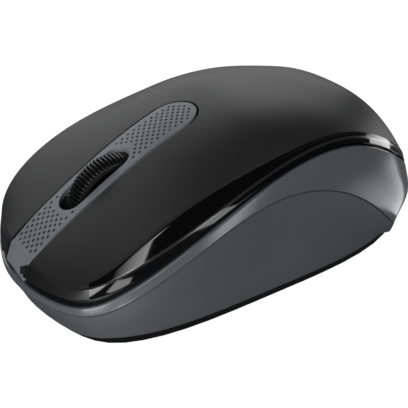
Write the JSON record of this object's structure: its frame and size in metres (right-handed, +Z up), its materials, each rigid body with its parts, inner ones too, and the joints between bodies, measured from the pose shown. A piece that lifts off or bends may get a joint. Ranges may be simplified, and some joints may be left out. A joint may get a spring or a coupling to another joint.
{
  "type": "computer mouse",
  "caption": "Compact wireless mouse: black domed cover with two keys, grey side shell, ribbed scroll wheel in a dimpled grey strip, and a battery bay below.",
  "frame": {"origin": "on the surface the mouse rests on, under the middle of its outline", "axes": "+Z up, -Y towards the front of the keys, +X towards the user's left; x = 0 is the plane of symmetry"},
  "size_m": [0.0614, 0.1007, 0.0382],
  "materials": {
    "black_satin": "satin moulded black with a glossy edge",
    "black_matte": "fine matte black",
    "grey_plastic": "satin dark grey",
    "tyre_rubber": "soft black rubber",
    "black_gloss": "polished black",
    "foot_slip": "smooth low-friction film",
    "board_green": "green solder mask",
    "chip_black": "moulded epoxy",
    "clear_plastic": "clear moulding",
    "red_plastic": "red acetal",
    "pale_plastic": "natural acetal",
    "steel": "bright nickel-plated steel",
    "cell_wrap": "printed film wrap without lettering"
  },
  "bodies": {
    "body": {"palm_cover": "black_satin", "base_plate": "black_matte", "side_shell": "grey_plastic", "centre_strip": "grey_plastic", "front_foot": "foot_slip", "left_foot": "foot_slip", "right_foot": "foot_slip", "circuit_board": "board_green", "left_switch": "chip_black", "right_switch": "chip_black", "middle_switch": "chip_black", "encoder_detector": "chip_black", "optical_sensor": "chip_black", "controller_chip": "chip_black", "capacitor": "chip_black", "sensor_lens": "clear_plastic", "encoder_emitter": "clear_plastic", "crystal": "steel", "power_switch": "steel", "battery_spring": "steel", "battery_contact": "steel", "front_case_screw": "steel", "left_case_screw": "steel", "right_case_screw": "steel", "left_board_screw": "steel", "right_board_screw": "steel", "battery": "cell_wrap"},
    "left_button": {"left_button": "black_satin"},
    "right_button": {"right_button": "black_satin"},
    "left_plunger": {"left_plunger": "red_plastic"},
    "right_plunger": {"right_plunger": "red_plastic"},
    "middle_plunger": {"middle_plunger": "pale_plastic"},
    "wheel_cradle": {"wheel_cradle": "pale_plastic"},
    "scroll_wheel": {"wheel_hub": "black_gloss", "wheel_tyre": "tyre_rubber"},
    "power_slider": {"power_slider": "foot_slip"},
    "battery_door": {"battery_door": "black_matte"},
    "receiver": {"receiver_cap": "black_gloss", "receiver_plug": "steel"}
  },
  "joints": [
    {"name": "left_button_press", "type": "hinge", "parent": "body", "child": "left_button", "pos_m": [0, -0.0065, 0.0355], "axis": [1, 0, 0], "range_deg": [0, 0.9], "stiffness_Nm_per_rad": 2, "springref_deg": -0.57},
    {"name": "left_plunger_press", "type": "slide", "parent": "body", "child": "left_plunger", "axis": [0, 0, -1], "range_m": [0, 0.0006]},
    {"name": "right_button_press", "type": "hinge", "parent": "body", "child": "right_button", "pos_m": [0, -0.0065, 0.0355], "axis": [1, 0, 0], "range_deg": [0, 0.9], "stiffness_Nm_per_rad": 2, "springref_deg": -0.57},
    {"name": "right_plunger_press", "type": "slide", "parent": "body", "child": "right_plunger", "axis": [0, 0, -1], "range_m": [0, 0.0006]},
    {"name": "wheel_press", "type": "slide", "parent": "body", "child": "wheel_cradle", "axis": [0, 0, -1], "range_m": [0, 0.0005], "stiffness_N_per_m": 800, "springref_m": -0.0005},
    {"name": "middle_plunger_press", "type": "slide", "parent": "body", "child": "middle_plunger", "axis": [0, 0, -1], "range_m": [0, 0.0005]},
    {"name": "wheel_spin", "type": "hinge", "parent": "wheel_cradle", "child": "scroll_wheel", "pos_m": [0, -0.0237, 0.0173], "axis": [1, 0, 0], "continuous": true},
    {"name": "power_slide", "type": "slide", "parent": "body", "child": "power_slider", "axis": [0, 1, 0], "range_m": [0, 0.003]},
    {"name": "battery_door_slide", "type": "slide", "parent": "body", "child": "battery_door", "axis": [0, 1, 0], "range_m": [0, 0.06]},
    {"name": "receiver_slide", "type": "slide", "parent": "body", "child": "receiver", "axis": [0, 1, 0], "range_m": [0, 0.0065]}
  ],
  "couplings": [
    {"joint": "left_plunger_press", "follows": "left_button_press", "m_per_rad": 0.0245},
    {"joint": "right_plunger_press", "follows": "right_button_press", "m_per_rad": 0.0245},
    {"joint": "middle_plunger_press", "follows": "wheel_press", "ratio": 1}
  ]
}
